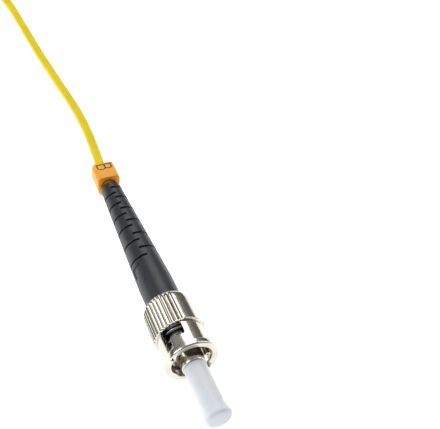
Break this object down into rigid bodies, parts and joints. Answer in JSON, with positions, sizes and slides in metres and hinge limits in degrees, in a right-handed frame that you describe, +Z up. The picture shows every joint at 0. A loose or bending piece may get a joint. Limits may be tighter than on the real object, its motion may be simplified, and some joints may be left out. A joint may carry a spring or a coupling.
{
  "type": "st fibre connector",
  "caption": "Bayonet-coupled fibre-optic connector with a knurled nut, slotted boot, dust cap and marker clip, on a thin simplex lead with a matching far end.",
  "frame": {"origin": "On the surface the connector lies on, below the middle of the near connector from boot rear to cap tip", "axes": "+Y from the cap tip towards the boot and the lead, +Z up, +X to the right seen from the cap tip's side"},
  "size_m": [0.0186, 0.2592, 0.0105],
  "materials": {
    "cap_plastic": "translucent soft plastic",
    "zirconia": "polished",
    "nickel": "bright nickel plate",
    "spring_steel": "drawn wire",
    "aramid": "yarn",
    "buffer": "smooth",
    "boot_rubber": "satin",
    "marker_plastic": "satin",
    "jacket": "satin",
    "tie_plastic": "satin"
  },
  "bodies": {
    "root": {"ferrule": "zirconia", "connector_body": "nickel", "key_pin": "nickel", "coupling_spring": "spring_steel", "retaining_ring": "spring_steel", "crimp_sleeve": "nickel", "aramid_yarn": "aramid", "buffered_fibre": "buffer", "boot": "boot_rubber", "marker_clip": "marker_plastic", "cord": "jacket", "cord_coil": "jacket", "cord_tail": "jacket", "coil_tie": "tie_plastic", "far_ferrule": "zirconia", "far_connector_body": "nickel", "far_key_pin": "nickel", "far_coupling_spring": "spring_steel", "far_retaining_ring": "spring_steel", "far_crimp_sleeve": "nickel", "far_aramid_yarn": "aramid", "far_buffered_fibre": "buffer", "far_boot": "boot_rubber", "far_marker_clip": "marker_plastic"},
    "nut_carrier": {"spring_washer": "spring_steel"},
    "nut": {"coupling_nut": "nickel"},
    "cap": {"dust_cap": "cap_plastic"},
    "far_nut_carrier": {"far_spring_washer": "spring_steel"},
    "far_nut": {"far_coupling_nut": "nickel"},
    "far_cap": {"far_dust_cap": "cap_plastic"}
  },
  "joints": [
    {"name": "nut_slide", "type": "slide", "parent": "root", "child": "nut_carrier", "axis": [0, -1, 0], "range_m": [0, 0.0022], "stiffness_N_per_m": 1500, "springref_m": -0.003, "deforming": ["coupling_spring"]},
    {"name": "nut_turn", "type": "hinge", "parent": "nut_carrier", "child": "nut", "pos_m": [0, -0.01, 0.0048], "axis": [0, -1, 0], "continuous": true},
    {"name": "cap_pull", "type": "slide", "parent": "root", "child": "cap", "axis": [0, -1, 0], "range_m": [0, 0.01]},
    {"name": "far_nut_slide", "type": "slide", "parent": "root", "child": "far_nut_carrier", "axis": [0, 1, 0], "range_m": [0, 0.0022], "stiffness_N_per_m": 1500, "springref_m": -0.003, "deforming": ["far_coupling_spring"]},
    {"name": "far_nut_turn", "type": "hinge", "parent": "far_nut_carrier", "child": "far_nut", "pos_m": [-0.0021, 0.2126, 0.0048], "axis": [0, 1, 0], "continuous": true},
    {"name": "far_cap_pull", "type": "slide", "parent": "root", "child": "far_cap", "axis": [0, 1, 0], "range_m": [0, 0.01]}
  ]
}
